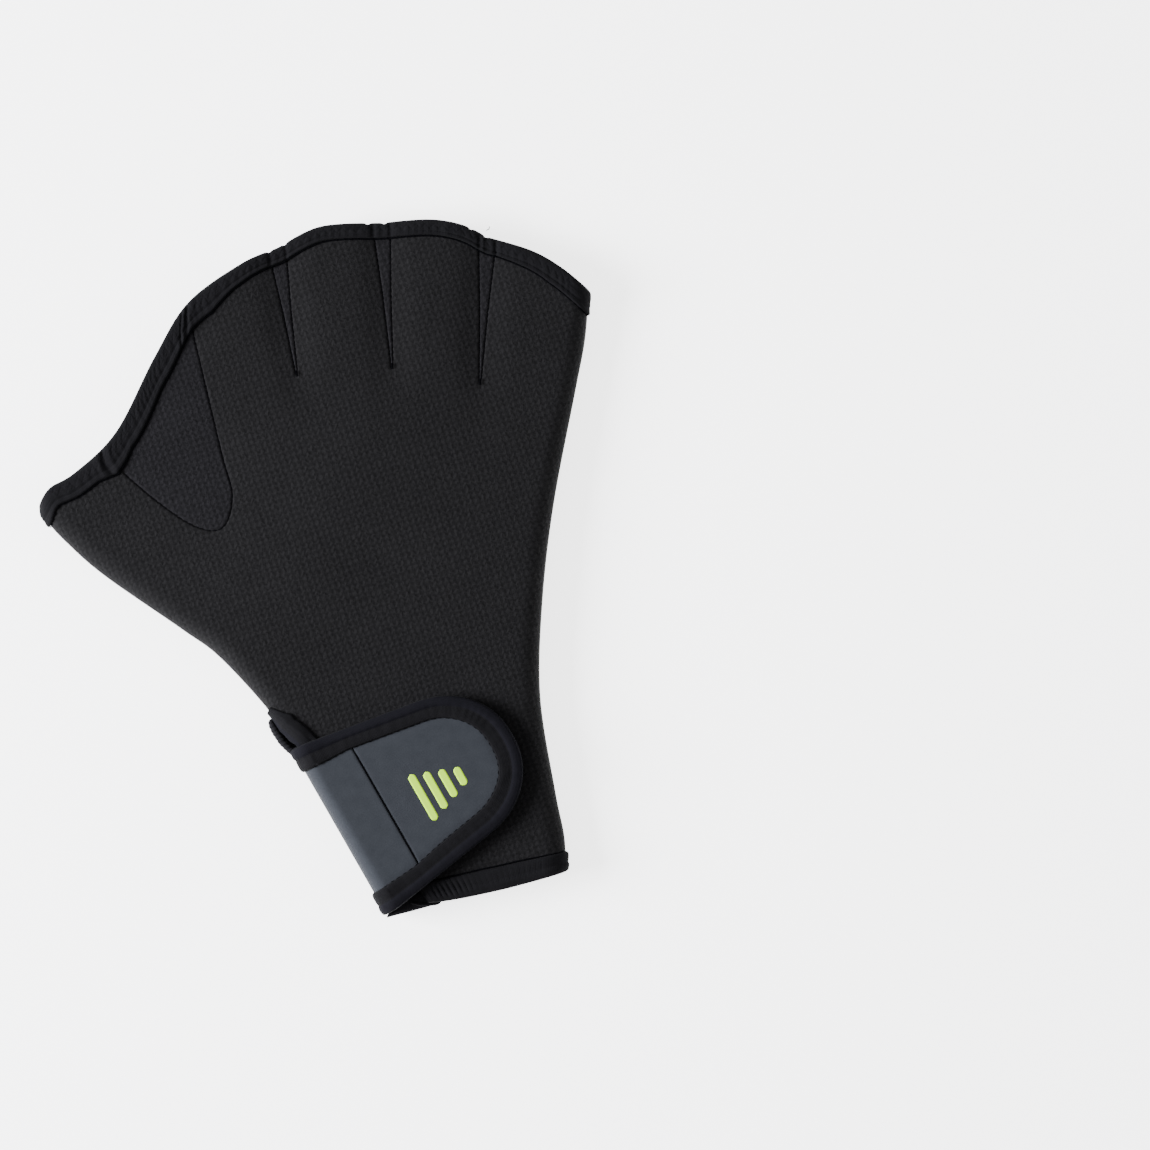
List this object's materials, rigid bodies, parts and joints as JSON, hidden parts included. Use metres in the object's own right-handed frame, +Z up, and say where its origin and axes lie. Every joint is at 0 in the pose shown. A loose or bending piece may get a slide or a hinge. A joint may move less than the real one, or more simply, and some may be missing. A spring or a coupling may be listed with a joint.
{
  "type": "webbed swim glove",
  "caption": "Right-hand webbed swim glove in thin neoprene: open finger and thumb mouth with taped edge, finger webs, wrist slit and wrap-round strap tab.",
  "frame": {"origin": "under the middle of the glove's outline, on the ground it lies on", "axes": "+Y from the wrist to the fingertips, +X towards the little finger, +Z up out of the back of the hand"},
  "size_m": [0.1912, 0.222, 0.0176],
  "materials": {
    "neoprene": "charcoal neoprene faced with a fine embossed basket weave, matt",
    "web_cloth": "dark knitted inset, matt",
    "edge_tape": "black stitched edge tape, slightly bluish, matt",
    "strap_jersey": "slate-grey smooth jersey over neoprene",
    "hook": "black hook tape"
  },
  "bodies": {
    "root": {"back_panel": "neoprene", "palm_panel": "neoprene", "thumb_web": "neoprene", "finger_web_1": "web_cloth", "finger_web_2": "web_cloth", "finger_web_3": "web_cloth", "lip_binding": "edge_tape", "wrist_binding": "edge_tape", "slit_binding": "edge_tape", "strap_band": "strap_jersey", "strap_tab": "strap_jersey", "strap_binding": "edge_tape", "hook_patch": "hook"}
  },
  "joints": []
}
